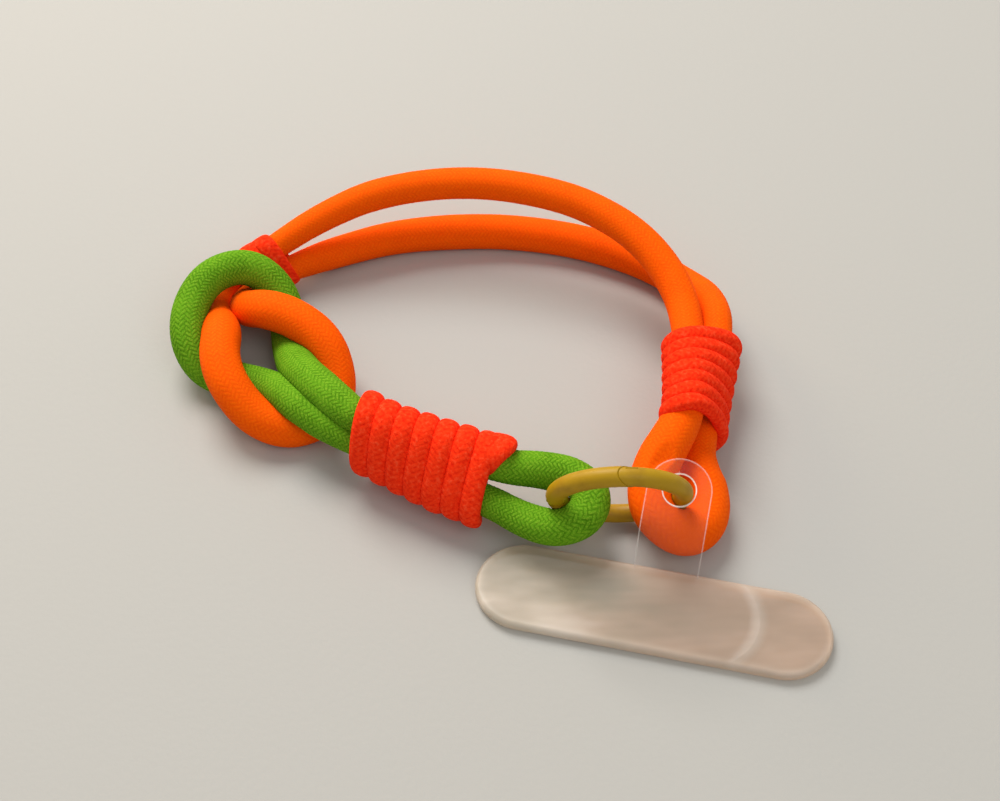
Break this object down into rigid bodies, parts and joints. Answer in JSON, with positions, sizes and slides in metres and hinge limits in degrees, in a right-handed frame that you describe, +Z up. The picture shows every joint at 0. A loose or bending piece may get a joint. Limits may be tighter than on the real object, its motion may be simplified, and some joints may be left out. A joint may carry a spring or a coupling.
{
  "type": "phone wrist strap",
  "caption": "Rope wrist loop knotted to a short rope link, closed by a spring gate ring that carries a clear tether tab for the inside of a phone case.",
  "frame": {"origin": "centre of the strap's footprint, on the surface it lies on", "axes": "+X along the tether pad's side of the strap, +Y away from the pad towards the wrist loop's back, +Z up"},
  "size_m": [0.1162, 0.1042, 0.0239],
  "materials": {
    "orange_braid": "fine round braid",
    "green_braid": "fine round braid",
    "red_cord": "soft flat-pulled cord",
    "yellow_coated_metal": "satin coat",
    "steel": "plain",
    "clear_plastic": "clear, soft",
    "frosted_plastic": "frosted, translucent"
  },
  "bodies": {
    "strap": {"orange_rope": "orange_braid", "green_rope": "green_braid", "whipping_green": "red_cord", "whipping_ring_end": "red_cord", "whipping_knot_end": "red_cord"},
    "ring": {"ring_body": "yellow_coated_metal"},
    "gate": {"ring_gate": "yellow_coated_metal", "gate_hinge_pin": "yellow_coated_metal", "gate_plunger": "steel", "gate_spring": "steel"},
    "tab": {"tether_neck": "clear_plastic", "tether_pad": "frosted_plastic"}
  },
  "joints": [
    {"name": "ring_tilt", "type": "hinge", "parent": "strap", "child": "ring", "pos_m": [0.0233, -0.0216, 0.0067], "axis": [-1, 0, 0], "range_deg": [0, 15]},
    {"name": "gate_swing", "type": "hinge", "parent": "ring", "child": "gate", "pos_m": [0.01261, -0.02357, 0.01185], "axis": [0, 0.9397, 0.342], "range_deg": [0, 25], "stiffness_Nm_per_rad": 0.02},
    {"name": "tab_lift", "type": "hinge", "parent": "ring", "child": "tab", "pos_m": [0.03318, -0.02362, 0.0136], "axis": [-0.9763, 0.2164, 0], "range_deg": [0, 15]}
  ]
}
